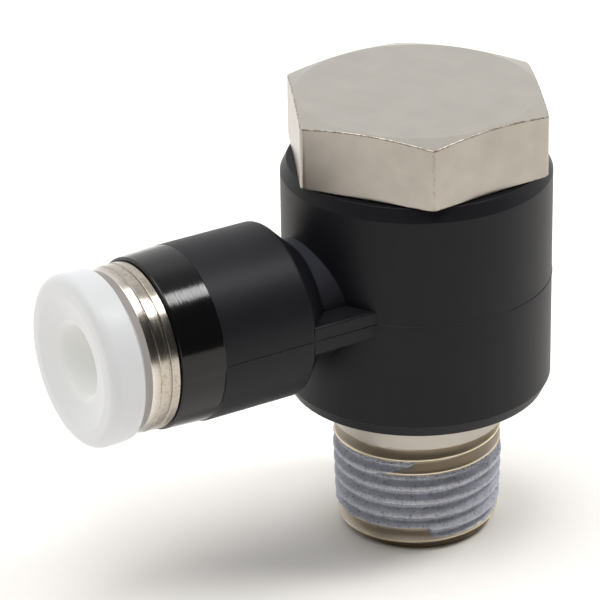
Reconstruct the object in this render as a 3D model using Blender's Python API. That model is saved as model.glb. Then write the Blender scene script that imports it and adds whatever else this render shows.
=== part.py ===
"""Push-in elbow fitting with a taper-threaded hollow stud, as a Blender 4.5 script.

A hexagon-headed hollow stud screws into a port. A moulded body swivels on it and
carries a side arm. The arm holds a push-in socket for a plastic tube: seal, gripping
ring, guide sleeve, collet and release button.

The stud stands along +Z with its threaded end on Z = 0, and the arm points along -X.
Sizes are in millimetres and are turned into metres when a shape is made.
"""

import math

import bmesh
import bpy
from mathutils import Matrix, Vector

MM = 0.001

# Facets
STUD_SEGMENTS = 56
ARM_SEGMENTS = 44
RING_SECTION_SEGMENTS = 10
CROSS_HOLE_SEGMENTS = 24
ARC_STEPS = 5

# Fits, all on the radius or along the axis
RUNNING_CLEARANCE = 0.05
SEAL_CLEARANCE = 0.03
SEAT_CLEARANCE = 0.05
PRESS_CLEARANCE = 0.03
FACE_CLEARANCE = 0.08
HEAD_CLEARANCE = 0.06
MERGE_DISTANCE = 0.0001

# Taper thread: 1/8 inch, 28 threads an inch, left uncut as its envelope
THREAD_GAUGE_DIAMETER = 9.728
THREAD_GAUGE_LENGTH = 4.0
THREAD_TAPER = 1 / 16
THREAD_DEPTH = 0.58
THREAD_LENGTH = 6.9
THREAD_END_WIDTH = 0.5
THREAD_END_HEIGHT = 0.6

# Sealant coat on the thread
SEALANT_START = 1.2
SEALANT_LENGTH = 4.5

# Hollow stud
SHANK_DIAMETER = 10.1
SHANK_BELOW_BODY = 2.2
HEX_ACROSS_FLATS = 14.0
HEX_HEIGHT = 3.93
HEX_CORNER_RADIUS = 0.4
HEX_TOP_CIRCLE = 13.7
HEX_CHAMFER_ANGLE = math.radians(15)
HEX_TURN = math.radians(-115.8)
STUD_BORE = 5.0
STUD_BORE_END = 1.6
CROSS_HOLE = 3.0
WAIST_DIAMETER = 7.8
WAIST_LENGTH = 6.0

# O-rings between stud and body
O_RING_SECTION = 1.0
O_RING_GROOVE_WIDTH = 1.35
O_RING_FROM_WAIST = 0.75

# Snap ring that keeps the body on the stud
SNAP_RING_THICKNESS = 0.6
SNAP_RING_WIDTH = 0.85
SNAP_RING_BITE = 0.4
SNAP_RING_OPENING = math.radians(40)
SNAP_RING_RECESS = 1.1

# Moulded body
BODY_DIAMETER = 15.6
BODY_HEIGHT = 14.2
BODY_EDGE_WIDTH = 0.36
BODY_EDGE_HEIGHT = 0.75
NECK_DIAMETER = 7.2
ARM_DIAMETER = 10.2
NECK_LENGTH = 2.15
ARM_LENGTH = 8.32
ARM_BAND_LENGTH = 2.62
ARM_BAND_STEP = 0.03
ARM_MOUTH_DIAMETER = 9.94
ARM_MOUTH_ROUND = 0.12
FIN_THICKNESS = 1.64
FIN_EDGE_ROUND = 0.5
FIN_INSET = 0.05

# Tube socket
TUBE_DIAMETER = 4.0
TUBE_CLEARANCE = 0.12
TUBE_HOLD = 4.3
PASSAGE_DIAMETER = 3.0

# Lip seal
SEAL_ROOM = 2.4
SEAL_WIDTH = 1.15
SEAL_LIP_REACH = 0.07
SEAL_LIP_DEPTH = 0.75
SEAL_LIP_THICKNESS = 0.35

# Gripping ring
SOCKET_DEPTH = 4.67
CHUCK_THICKNESS = 0.25
CHUCK_FINGER_FALL = 0.8
CHUCK_BITE = 0.05
CHUCK_FINGERS = 8
CHUCK_SLOT_WIDTH = 0.3

# Guide sleeve
GUIDE_INSERT_DIAMETER = 8.4
GUIDE_FLANGE_DIAMETER = 9.56
GUIDE_FLANGE_LENGTH = 1.68
GUIDE_FRONT_DIAMETER = 9.36
GUIDE_FRONT_LENGTH = 0.45
GUIDE_GROOVE_FROM_BODY = 0.58
GUIDE_GROOVE_DEPTH = 0.08
GUIDE_GROOVE_WIDTH = 0.1
GUIDE_POCKET_LENGTH = 1.25
GUIDE_BARB_HEIGHT = 0.12
GUIDE_BARB_PITCH = 0.9

# Collet
COLLET_WALL = 0.73
COLLET_CATCH = 0.45
COLLET_HEAD_ROOM = 0.2
COLLET_NOSE_WALL = 0.2
COLLET_NOSE_LEFT = 0.1
COLLET_SLIT_LENGTH = 3.4
COLLET_SLIT_WIDTH = 0.5
COLLET_SLITS = 4

# Release button
BUTTON_TRAVEL = 0.5
BUTTON_DIAMETER = 9.94
BUTTON_THICKNESS = 2.0
BUTTON_FRONT_ROUND = 0.85
BUTTON_BACK_ROUND = 0.12
BUTTON_FACE_WIDTH = 0.25
BUTTON_DISH_DEPTH = 0.42
BUTTON_HUB_WALL = 0.7
BUTTON_HUB_ROOM = 0.2
BUTTON_HUB_LENGTH = 1.9
BUTTON_SOCKET_DEPTH = 1.85

# Heights up the stud's axis
BODY_BOTTOM = THREAD_LENGTH + SHANK_BELOW_BODY
BODY_TOP = BODY_BOTTOM + BODY_HEIGHT
ARM_AXIS = (BODY_BOTTOM + BODY_TOP) / 2
HEX_BOTTOM = BODY_TOP + HEAD_CLEARANCE
HEX_TOP = HEX_BOTTOM + HEX_HEIGHT
SNAP_RING_LOW = BODY_BOTTOM + SNAP_RING_RECESS - FACE_CLEARANCE - SNAP_RING_THICKNESS

# Radii about the stud's axis
SHANK_RADIUS = SHANK_DIAMETER / 2
BODY_BORE_RADIUS = SHANK_RADIUS + RUNNING_CLEARANCE
O_RING_OUTER = BODY_BORE_RADIUS - SEAL_CLEARANCE
O_RING_RADIUS = O_RING_OUTER - O_RING_SECTION / 2
GROOVE_FLOOR = O_RING_OUTER - O_RING_SECTION - SEAL_CLEARANCE
SNAP_RING_INNER = SHANK_RADIUS - SNAP_RING_BITE
SNAP_RING_OUTER = SNAP_RING_INNER + SNAP_RING_WIDTH

# Radii and places along the arm's axis, measured out from the stud's axis
ARM_SHOULDER = BODY_DIAMETER / 2 + NECK_LENGTH
ARM_MOUTH = ARM_SHOULDER + ARM_LENGTH
CHUCK_SEAT = ARM_MOUTH - SOCKET_DEPTH
SEAL_SEAT = CHUCK_SEAT - SEAL_ROOM
TUBE_STOP = SEAL_SEAT - TUBE_HOLD
TUBE_BORE_RADIUS = TUBE_DIAMETER / 2 + TUBE_CLEARANCE
COLLET_RADIUS = TUBE_BORE_RADIUS + COLLET_WALL
COLLET_HEAD_RADIUS = COLLET_RADIUS + COLLET_CATCH
GUIDE_BORE_RADIUS = COLLET_RADIUS + FACE_CLEARANCE
GUIDE_POCKET_RADIUS = COLLET_HEAD_RADIUS + COLLET_HEAD_ROOM
GUIDE_INSERT_RADIUS = GUIDE_INSERT_DIAMETER / 2
SOCKET_RADIUS = GUIDE_INSERT_RADIUS + PRESS_CLEARANCE
SEAL_RADIUS = TUBE_BORE_RADIUS + SEAL_WIDTH
CHUCK_RADIUS = GUIDE_INSERT_RADIUS
CHUCK_INNER_FACE = CHUCK_SEAT + SEAT_CLEARANCE
CHUCK_OUTER_FACE = CHUCK_INNER_FACE + CHUCK_THICKNESS
CHUCK_ROOT_RADIUS = SEAL_RADIUS - SEAT_CLEARANCE
CHUCK_TIP_RADIUS = TUBE_DIAMETER / 2 - CHUCK_BITE
CHUCK_TIP = CHUCK_OUTER_FACE - CHUCK_FINGER_FALL
CHUCK_SLOPE = CHUCK_FINGER_FALL / (CHUCK_ROOT_RADIUS - CHUCK_TIP_RADIUS)
SEAL_HEEL = CHUCK_TIP - CHUCK_THICKNESS - SEAT_CLEARANCE
GUIDE_INNER_END = CHUCK_OUTER_FACE + SEAT_CLEARANCE
GUIDE_LEDGE = GUIDE_INNER_END + GUIDE_POCKET_LENGTH
GUIDE_FLANGE_START = ARM_MOUTH + SEAT_CLEARANCE
GUIDE_FRONT = GUIDE_FLANGE_START + GUIDE_FLANGE_LENGTH
BUTTON_BACK = GUIDE_FRONT + BUTTON_TRAVEL + FACE_CLEARANCE
BUTTON_FRONT = BUTTON_BACK + BUTTON_THICKNESS
BUTTON_HUB_RADIUS = COLLET_RADIUS + PRESS_CLEARANCE + BUTTON_HUB_WALL
BUTTON_HUB_END = BUTTON_BACK - BUTTON_HUB_LENGTH
GUIDE_MOUTH_RADIUS = BUTTON_HUB_RADIUS + BUTTON_HUB_ROOM
GUIDE_MOUTH_FLOOR = BUTTON_HUB_END - BUTTON_TRAVEL - FACE_CLEARANCE
COLLET_OUTER_END = BUTTON_HUB_END + BUTTON_SOCKET_DEPTH - SEAT_CLEARANCE
COLLET_SHOULDER = GUIDE_LEDGE - FACE_CLEARANCE

# Extra length that a cutter reaches past the wall it cuts
OVERCUT = 1.0


def thread_radius(height):
    """Outer radius of the taper thread at a height above the stud's end."""
    return (THREAD_GAUGE_DIAMETER + THREAD_TAPER * (height - THREAD_GAUGE_LENGTH)) / 2


def material(name, colour, metallic, roughness):
    """Principled material with one colour."""
    made = bpy.data.materials.new(name)
    made.use_nodes = True
    shader = made.node_tree.nodes["Principled BSDF"]
    shader.inputs["Base Color"].default_value = (*colour, 1.0)
    shader.inputs["Metallic"].default_value = metallic
    shader.inputs["Roughness"].default_value = roughness
    return made


def empty(name, parent, height, turn=None):
    """Empty that carries pieces, its height given in its parent's frame."""
    holder = bpy.data.objects.new(name, None)
    holder.empty_display_size = 4 * MM
    holder.location = (0, 0, height * MM)
    if turn:
        holder.rotation_euler = turn
    holder.parent = parent
    bpy.context.scene.collection.objects.link(holder)
    return holder


def finish_mesh(shape):
    """Merge the doubles of a bmesh and turn its faces outwards."""
    bmesh.ops.remove_doubles(shape, verts=shape.verts, dist=MERGE_DISTANCE)
    bmesh.ops.recalc_face_normals(shape, faces=shape.faces)


def place(name, shape, parent, finish=None):
    """Object from a bmesh in millimetres, hung on a parent."""
    finish_mesh(shape)
    bmesh.ops.scale(shape, vec=(MM, MM, MM), verts=shape.verts)
    mesh = bpy.data.meshes.new(name)
    shape.to_mesh(mesh)
    shape.free()
    mesh.shade_smooth()
    mesh.set_sharp_from_angle(angle=math.radians(30))
    made = bpy.data.objects.new(name, mesh)
    made.parent = parent
    bpy.context.scene.collection.objects.link(made)
    if finish:
        mesh.materials.append(finish)
    return made


def arc(centre, radius, start, end, steps=ARC_STEPS):
    """Points of an arc in the (radius, height) plane, angles in degrees."""
    points = []
    for step in range(steps + 1):
        angle = math.radians(start + (end - start) * step / steps)
        points.append((centre[0] + radius * math.cos(angle), centre[1] + radius * math.sin(angle)))
    return points


def turned(outline, segments, angle=2 * math.pi):
    """Solid of revolution about Z from a (radius, height) outline.

    An outline whose ends lie on the axis is open, and any other is a closed loop.
    """
    shape = bmesh.new()
    verts = [shape.verts.new((radius, 0, height)) for radius, height in outline]
    pairs = list(zip(verts, verts[1:]))
    on_axis = outline[0][0] == 0 and outline[-1][0] == 0
    if not on_axis:
        pairs.append((verts[-1], verts[0]))
    edges = [shape.edges.new(pair) for pair in pairs]
    full = math.isclose(angle, 2 * math.pi)
    if not full:
        bmesh.ops.contextual_create(shape, geom=edges)
    bmesh.ops.spin(
        shape,
        geom=verts + edges + list(shape.faces),
        cent=(0, 0, 0),
        axis=(0, 0, 1),
        angle=angle,
        steps=segments,
        use_merge=full,
        use_duplicate=False,
    )
    return shape


def round_bar(radius, start, end, segments):
    """Plain cylinder along Z."""
    return turned([(0, start), (radius, start), (radius, end), (0, end)], segments)


def extruded(corners, start, end):
    """Prism along Z from a list of (x, y) corners."""
    shape = bmesh.new()
    verts = [shape.verts.new((x, y, start)) for x, y in corners]
    face = shape.faces.new(verts)
    grown = bmesh.ops.extrude_face_region(shape, geom=[face])
    raised = [item for item in grown["geom"] if isinstance(item, bmesh.types.BMVert)]
    bmesh.ops.translate(shape, vec=(0, 0, end - start), verts=raised)
    return shape


def rounded_polygon(corners, radius, steps=3):
    """Corners of a convex polygon, given anticlockwise, each rounded off."""
    points = []
    count = len(corners)
    for index, corner in enumerate(corners):
        here = Vector(corner)
        back = (Vector(corners[index - 1]) - here).normalized()
        on = (Vector(corners[(index + 1) % count]) - here).normalized()
        half_angle = back.angle(on) / 2
        centre = here + (back + on).normalized() * (radius / math.sin(half_angle))
        first = here + back * (radius / math.tan(half_angle)) - centre
        turn = math.pi - 2 * half_angle
        for step in range(steps + 1):
            spoke = Matrix.Rotation(turn * step / steps, 2) @ first
            points.append(tuple(centre + spoke))
    return points


def spokes(count, inner, outer, width, start, end):
    """Ring of thin radial boxes, one mesh, used to cut slots."""
    shape = bmesh.new()
    for index in range(count):
        made = bmesh.ops.create_cube(shape, size=1.0)["verts"]
        bmesh.ops.scale(shape, vec=(outer - inner, width, end - start), verts=made)
        bmesh.ops.translate(shape, vec=((inner + outer) / 2, 0, (start + end) / 2), verts=made)
        turn = Matrix.Rotation(2 * math.pi * (index + 0.5) / count, 3, "Z")
        bmesh.ops.rotate(shape, cent=(0, 0, 0), matrix=turn, verts=made)
    return shape


def helper(name, shape, parent):
    """Object that only shapes another one, left out of the render."""
    made = place(name, shape, parent)
    made.hide_render = True
    made.display_type = "WIRE"
    return made


def combine(target, other, operation, solver="EXACT"):
    """Boolean kept live on the target."""
    step = target.modifiers.new(other.name, "BOOLEAN")
    step.operation = operation
    step.solver = solver
    step.object = other


def stud_outline():
    """Half section of the stud below its head, from the axis round to the axis."""
    thread_end = thread_radius(0) - THREAD_END_WIDTH
    seat_low = SEALANT_START
    seat_high = SEALANT_START + SEALANT_LENGTH
    seat_depth = THREAD_DEPTH / 2
    waist = WAIST_DIAMETER / 2
    outline = [
        (0, 0),
        (thread_end, 0),
        (thread_radius(THREAD_END_HEIGHT), THREAD_END_HEIGHT),
        (thread_radius(seat_low), seat_low),
        (thread_radius(seat_low) - seat_depth, seat_low),
        (thread_radius(seat_high) - seat_depth, seat_high),
        (thread_radius(seat_high), seat_high),
        (thread_radius(THREAD_LENGTH), THREAD_LENGTH),
        (SHANK_RADIUS, THREAD_LENGTH),
    ]
    outline += groove(*snap_ring_groove(), SNAP_RING_INNER - SEAT_CLEARANCE)
    outline += groove(*o_ring_groove(-1), GROOVE_FLOOR)
    outline += groove(ARM_AXIS - WAIST_LENGTH / 2, ARM_AXIS + WAIST_LENGTH / 2, waist)
    outline += groove(*o_ring_groove(1), GROOVE_FLOOR)
    outline += [(SHANK_RADIUS, HEX_BOTTOM), (SHANK_RADIUS, HEX_BOTTOM + HEX_HEIGHT / 2)]
    outline.append((0, HEX_BOTTOM + HEX_HEIGHT / 2))
    return outline


def groove(low, high, floor):
    """Four outline points of a square groove in the shank."""
    return [(SHANK_RADIUS, low), (floor, low), (floor, high), (SHANK_RADIUS, high)]


def o_ring_groove(side):
    """Lower and upper height of an O-ring groove; side is -1 below the arm, 1 above."""
    near = ARM_AXIS + side * (WAIST_LENGTH / 2 + O_RING_FROM_WAIST)
    far = near + side * O_RING_GROOVE_WIDTH
    return min(near, far), max(near, far)


def snap_ring_groove():
    """Lower and upper height of the groove that the snap ring springs into."""
    high = SNAP_RING_LOW + SNAP_RING_THICKNESS
    return SNAP_RING_LOW - SEAT_CLEARANCE, high + SEAT_CLEARANCE


def hexagon():
    """Corners of the head, its corners slightly rounded."""
    reach = HEX_ACROSS_FLATS / 2 / math.cos(math.pi / 6)
    angles = [HEX_TURN + index * math.pi / 3 for index in range(6)]
    corners = [(reach * math.cos(angle), reach * math.sin(angle)) for angle in angles]
    return rounded_polygon(corners, HEX_CORNER_RADIUS)


def hex_chamfer_outline():
    """Half section of the lathe-turned top of the head."""
    reach = HEX_ACROSS_FLATS / 2 / math.cos(math.pi / 6) + OVERCUT
    top_radius = HEX_TOP_CIRCLE / 2
    drop = (reach - top_radius) * math.tan(HEX_CHAMFER_ANGLE)
    return [
        (0, HEX_BOTTOM - OVERCUT),
        (reach, HEX_BOTTOM - OVERCUT),
        (reach, HEX_TOP - drop),
        (top_radius, HEX_TOP),
        (0, HEX_TOP),
    ]


def make_stud(axis, finish):
    """Hollow stud: turned shank, milled head, bore and four cross holes."""
    stud = place("banjo_stud", extruded(hexagon(), HEX_BOTTOM, HEX_TOP), axis, finish)
    combine(stud, helper("head_turning", turned(hex_chamfer_outline(), STUD_SEGMENTS), axis), "INTERSECT")
    combine(stud, helper("shank", turned(stud_outline(), STUD_SEGMENTS), axis), "UNION")
    bore_end = ARM_AXIS + CROSS_HOLE / 2 + STUD_BORE_END
    drill_point = STUD_BORE / 2 / math.tan(math.radians(59))
    bore = [(0, -OVERCUT), (STUD_BORE / 2, -OVERCUT), (STUD_BORE / 2, bore_end), (0, bore_end + drill_point)]
    combine(stud, helper("stud_bore", turned(bore, ARM_SEGMENTS), axis), "DIFFERENCE")
    for index, turn in enumerate((0, math.pi / 2)):
        hole = round_bar(CROSS_HOLE / 2, -SHANK_RADIUS - OVERCUT, SHANK_RADIUS + OVERCUT, CROSS_HOLE_SEGMENTS)
        bmesh.ops.rotate(hole, cent=(0, 0, 0), matrix=Matrix.Rotation(math.pi / 2, 3, "Y"), verts=hole.verts)
        bmesh.ops.rotate(hole, cent=(0, 0, 0), matrix=Matrix.Rotation(turn, 3, "Z"), verts=hole.verts)
        bmesh.ops.translate(hole, vec=(0, 0, ARM_AXIS), verts=hole.verts)
        combine(stud, helper(f"cross_hole_{index + 1}", hole, axis), "DIFFERENCE", "MANIFOLD")
    return stud


def make_sealant(axis, finish):
    """Sealant coat, a tapered sleeve filling the thread's valleys."""
    low = SEALANT_START + SEAL_CLEARANCE
    high = SEALANT_START + SEALANT_LENGTH - SEAL_CLEARANCE
    inset = THREAD_DEPTH / 2 - SEAL_CLEARANCE
    outline = [
        (thread_radius(low) - inset, low),
        (thread_radius(low), low),
        (thread_radius(high), high),
        (thread_radius(high) - inset, high),
    ]
    return place("thread_sealant", turned(outline, STUD_SEGMENTS), axis, finish)


def make_o_ring(name, side, axis, finish):
    """O-ring in its groove above or below the arm."""
    middle = sum(o_ring_groove(side)) / 2
    circle = arc((O_RING_RADIUS, middle), O_RING_SECTION / 2, 0, 360, RING_SECTION_SEGMENTS)[:-1]
    return place(name, turned(circle, STUD_SEGMENTS), axis, finish)


def make_snap_ring(axis, finish):
    """Open spring ring, turned part of the way round from a flat section."""
    low = SNAP_RING_LOW
    high = low + SNAP_RING_THICKNESS
    outline = [
        (SNAP_RING_INNER, low),
        (SNAP_RING_OUTER, low),
        (SNAP_RING_OUTER, high),
        (SNAP_RING_INNER, high),
    ]
    sweep = 2 * math.pi - SNAP_RING_OPENING
    ring = turned(outline, STUD_SEGMENTS, sweep)
    start = Matrix.Rotation(SNAP_RING_OPENING / 2, 3, "Z")
    bmesh.ops.rotate(ring, cent=(0, 0, 0), matrix=start, verts=ring.verts)
    return place("snap_ring", ring, axis, finish)


def body_ring_outline():
    """Half section of the banjo ring's outside, heights from the arm's axis."""
    radius = BODY_DIAMETER / 2
    half = BODY_HEIGHT / 2
    return [
        (0, -half),
        (radius - BODY_EDGE_WIDTH, -half),
        (radius, -half + BODY_EDGE_HEIGHT),
        (radius, half - BODY_EDGE_HEIGHT),
        (radius - BODY_EDGE_WIDTH, half),
        (0, half),
    ]


def body_bore_outline():
    """Half section of what is bored out of the ring, with the snap ring's recess."""
    half = BODY_HEIGHT / 2
    recess = SNAP_RING_OUTER + RUNNING_CLEARANCE
    return [
        (0, -half - OVERCUT),
        (recess, -half - OVERCUT),
        (recess, -half + SNAP_RING_RECESS),
        (BODY_BORE_RADIUS, -half + SNAP_RING_RECESS),
        (BODY_BORE_RADIUS, half + OVERCUT),
        (0, half + OVERCUT),
    ]


def wall_middle():
    """Radius half way through the ring's wall, where the arm's pieces start."""
    return (BODY_BORE_RADIUS + BODY_DIAMETER / 2) / 2 - 0.6


def arm_outline():
    """Half section of the arm: neck, sloping shoulder, barrel and its smooth band."""
    neck = NECK_DIAMETER / 2
    barrel = ARM_DIAMETER / 2
    mouth = ARM_MOUTH_DIAMETER / 2
    band = ARM_MOUTH - ARM_BAND_LENGTH
    outline = [
        (0, wall_middle()),
        (neck, wall_middle()),
        (neck, ARM_SHOULDER - (barrel - neck)),
        (barrel, ARM_SHOULDER),
        (barrel, band),
        (barrel - ARM_BAND_STEP, band + ARM_BAND_STEP),
    ]
    edge = (mouth - ARM_MOUTH_ROUND, ARM_MOUTH - ARM_MOUTH_ROUND)
    outline += arc(edge, ARM_MOUTH_ROUND, 0, 90, 3)
    outline.append((0, ARM_MOUTH))
    return outline


def socket_outline():
    """Half section of what is bored out of the arm, from the passage to the mouth."""
    return [
        (0, 0),
        (PASSAGE_DIAMETER / 2, 0),
        (PASSAGE_DIAMETER / 2, TUBE_STOP),
        (TUBE_BORE_RADIUS, TUBE_STOP),
        (TUBE_BORE_RADIUS, SEAL_SEAT),
        (SEAL_RADIUS, SEAL_SEAT),
        (SEAL_RADIUS, CHUCK_SEAT),
        (SOCKET_RADIUS, CHUCK_SEAT),
        (SOCKET_RADIUS, ARM_MOUTH + OVERCUT),
        (0, ARM_MOUTH + OVERCUT),
    ]


def make_body(swivel, arm, finish):
    """Moulded body: ring, neck, flat fin in the parting plane, arm and bores."""
    body = place("swivel_body", turned(body_ring_outline(), STUD_SEGMENTS), swivel, finish)
    combine(body, helper("arm_outside", turned(arm_outline(), ARM_SEGMENTS), arm), "UNION")
    half_width = ARM_DIAMETER / 2 - FIN_INSET
    half_height = FIN_THICKNESS / 2
    corners = [
        (-half_height, -half_width),
        (half_height, -half_width),
        (half_height, half_width),
        (-half_height, half_width),
    ]
    fin = extruded(rounded_polygon(corners, FIN_EDGE_ROUND), wall_middle(), ARM_SHOULDER)
    combine(body, helper("fin", fin, arm), "UNION")
    combine(body, helper("body_bore", turned(body_bore_outline(), STUD_SEGMENTS), swivel), "DIFFERENCE")
    combine(body, helper("tube_socket", turned(socket_outline(), ARM_SEGMENTS), arm), "DIFFERENCE")
    return body


def make_seal(arm, finish):
    """Lip seal: a square heel and two lips that open towards the stud."""
    outer = SEAL_RADIUS - SEAL_CLEARANCE
    inner = TUBE_BORE_RADIUS
    front = SEAL_SEAT + SEAT_CLEARANCE
    valley = front + SEAL_LIP_DEPTH
    lip = TUBE_DIAMETER / 2 - SEAL_LIP_REACH
    middle = (outer + inner) / 2
    outline = [
        (inner, SEAL_HEEL),
        (outer, SEAL_HEEL),
        (outer, front),
        (outer - SEAL_LIP_THICKNESS, front),
        (middle, valley),
        (lip + SEAL_LIP_THICKNESS, front),
        (lip, front + SEAL_LIP_THICKNESS / 2),
    ]
    return place("tube_seal", turned(outline, ARM_SEGMENTS), arm, finish)


def make_chuck(arm, finish):
    """Gripping ring: flat rim and a cone slit into fingers that point inwards."""
    outline = [
        (CHUCK_RADIUS, CHUCK_INNER_FACE),
        (CHUCK_RADIUS, CHUCK_OUTER_FACE),
        (CHUCK_ROOT_RADIUS, CHUCK_OUTER_FACE),
        (CHUCK_TIP_RADIUS, CHUCK_TIP),
        (CHUCK_TIP_RADIUS + CHUCK_THICKNESS / 2, CHUCK_TIP - CHUCK_THICKNESS),
        (CHUCK_ROOT_RADIUS, CHUCK_INNER_FACE),
    ]
    chuck = place("chuck", turned(outline, ARM_SEGMENTS), arm, finish)
    slots = spokes(
        CHUCK_FINGERS,
        CHUCK_TIP_RADIUS / 2,
        CHUCK_ROOT_RADIUS - CHUCK_THICKNESS,
        CHUCK_SLOT_WIDTH,
        CHUCK_TIP - OVERCUT,
        CHUCK_OUTER_FACE + OVERCUT,
    )
    combine(chuck, helper("chuck_slots", slots, arm), "DIFFERENCE")
    return chuck


def guide_barbs():
    """Saw-tooth rings on the guide's insert that hold it in the moulded arm."""
    root = GUIDE_INSERT_RADIUS - GUIDE_BARB_HEIGHT
    height = GUIDE_INNER_END
    points = [(root, height)]
    while height + GUIDE_BARB_PITCH < ARM_MOUTH:
        height += GUIDE_BARB_PITCH
        points.append((GUIDE_INSERT_RADIUS, height))
        points.append((root, height))
    return points


def make_guide(arm, finish):
    """Guide sleeve: barbed insert, flange with a fine groove, and stepped bore."""
    flange = GUIDE_FLANGE_DIAMETER / 2
    front = GUIDE_FRONT_DIAMETER / 2
    groove_middle = GUIDE_FLANGE_START + GUIDE_GROOVE_FROM_BODY
    outline = guide_barbs()
    outline += [
        (GUIDE_INSERT_RADIUS - GUIDE_BARB_HEIGHT, GUIDE_FLANGE_START),
        (flange, GUIDE_FLANGE_START),
        (flange, groove_middle - GUIDE_GROOVE_WIDTH / 2),
        (flange - GUIDE_GROOVE_DEPTH, groove_middle),
        (flange, groove_middle + GUIDE_GROOVE_WIDTH / 2),
        (flange, GUIDE_FRONT - GUIDE_FRONT_LENGTH),
        (front, GUIDE_FRONT),
        (GUIDE_MOUTH_RADIUS, GUIDE_FRONT),
        (GUIDE_MOUTH_RADIUS, GUIDE_MOUTH_FLOOR),
        (GUIDE_BORE_RADIUS, GUIDE_MOUTH_FLOOR),
        (GUIDE_BORE_RADIUS, GUIDE_LEDGE),
        (GUIDE_POCKET_RADIUS, GUIDE_LEDGE),
        (GUIDE_POCKET_RADIUS, GUIDE_INNER_END),
    ]
    return place("guide", turned(outline, ARM_SEGMENTS), arm, finish)


def make_collet(release, finish):
    """Collet: sleeve with a catch and a nose that opens the gripping ring."""
    nose_radius = TUBE_BORE_RADIUS + COLLET_NOSE_WALL
    gap = BUTTON_TRAVEL + COLLET_NOSE_LEFT
    nose = CHUCK_OUTER_FACE - (CHUCK_ROOT_RADIUS - nose_radius) * CHUCK_SLOPE + gap
    head = CHUCK_OUTER_FACE - (CHUCK_ROOT_RADIUS - COLLET_HEAD_RADIUS) * CHUCK_SLOPE + gap
    outline = [
        (TUBE_BORE_RADIUS, nose),
        (nose_radius, nose),
        (COLLET_HEAD_RADIUS, head),
        (COLLET_HEAD_RADIUS, COLLET_SHOULDER),
        (COLLET_RADIUS, COLLET_SHOULDER),
        (COLLET_RADIUS, COLLET_OUTER_END),
        (TUBE_BORE_RADIUS, COLLET_OUTER_END),
    ]
    collet = place("collet", turned(outline, ARM_SEGMENTS), release, finish)
    slits = spokes(
        COLLET_SLITS,
        TUBE_BORE_RADIUS / 2,
        COLLET_HEAD_RADIUS + OVERCUT,
        COLLET_SLIT_WIDTH,
        nose - OVERCUT,
        nose + COLLET_SLIT_LENGTH,
    )
    combine(collet, helper("collet_slits", slits, release), "DIFFERENCE")
    return collet


def make_button(release, finish):
    """Release button: rounded disc with a dished face, and a hub over the collet."""
    rim = BUTTON_DIAMETER / 2
    dish_edge = rim - BUTTON_FRONT_ROUND - BUTTON_FACE_WIDTH
    socket = COLLET_RADIUS + PRESS_CLEARANCE
    socket_end = BUTTON_HUB_END + BUTTON_SOCKET_DEPTH
    outline = [
        (TUBE_BORE_RADIUS, socket_end),
        (socket, socket_end),
        (socket, BUTTON_HUB_END),
        (BUTTON_HUB_RADIUS, BUTTON_HUB_END),
        (BUTTON_HUB_RADIUS, BUTTON_BACK),
    ]
    outline += arc((rim - BUTTON_BACK_ROUND, BUTTON_BACK + BUTTON_BACK_ROUND), BUTTON_BACK_ROUND, -90, 0, 2)
    outline += arc((rim - BUTTON_FRONT_ROUND, BUTTON_FRONT - BUTTON_FRONT_ROUND), BUTTON_FRONT_ROUND, 0, 90)
    outline += [
        (dish_edge, BUTTON_FRONT),
        (TUBE_BORE_RADIUS, BUTTON_FRONT - BUTTON_DISH_DEPTH),
    ]
    return place("release_button", turned(outline, ARM_SEGMENTS), release, finish)


def clear_scene():
    """Remove every object of the file."""
    for item in list(bpy.data.objects):
        bpy.data.objects.remove(item, do_unlink=True)


def main():
    """Build the fitting."""
    clear_scene()
    nickel = material("nickel_plated_brass", (0.66, 0.63, 0.58), 1.0, 0.32)
    black = material("black_moulding", (0.035, 0.035, 0.036), 0.0, 0.55)
    white = material("white_acetal", (0.83, 0.83, 0.82), 0.0, 0.35)
    rubber = material("black_rubber", (0.02, 0.02, 0.02), 0.0, 0.7)
    spring_steel = material("spring_steel", (0.55, 0.55, 0.56), 1.0, 0.3)
    coat = material("grey_sealant", (0.36, 0.38, 0.42), 0.0, 0.75)

    stud_axis = empty("stud_axis", None, 0)
    swivel_axis = empty("swivel_axis", stud_axis, ARM_AXIS)
    arm_axis = empty("arm_axis", swivel_axis, 0, (0, -math.pi / 2, 0))
    release_axis = empty("release_axis", arm_axis, 0)

    make_stud(stud_axis, nickel)
    make_sealant(stud_axis, coat)
    make_o_ring("lower_o_ring", -1, stud_axis, rubber)
    make_o_ring("upper_o_ring", 1, stud_axis, rubber)
    make_snap_ring(stud_axis, spring_steel)
    make_body(swivel_axis, arm_axis, black)
    make_seal(arm_axis, rubber)
    make_chuck(arm_axis, spring_steel)
    make_guide(arm_axis, nickel)
    make_collet(release_axis, white)
    make_button(release_axis, white)


main()
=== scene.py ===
# %% [markdown]
# # A push-in elbow fitting on a white table
# The fitting is a small swivelling elbow for plastic air tube. A nickel-plated stud with
# a hexagon head screws into a port, a black moulded body turns on it, and the tube is
# pushed into a socket behind a white button. The solid model arrives packed, and this
# lesson dresses it: finer meshes where the eye can see, and a finish for every piece.

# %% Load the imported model
import math

import bmesh
import bpy
from mathutils import Matrix, Vector, noise


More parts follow.
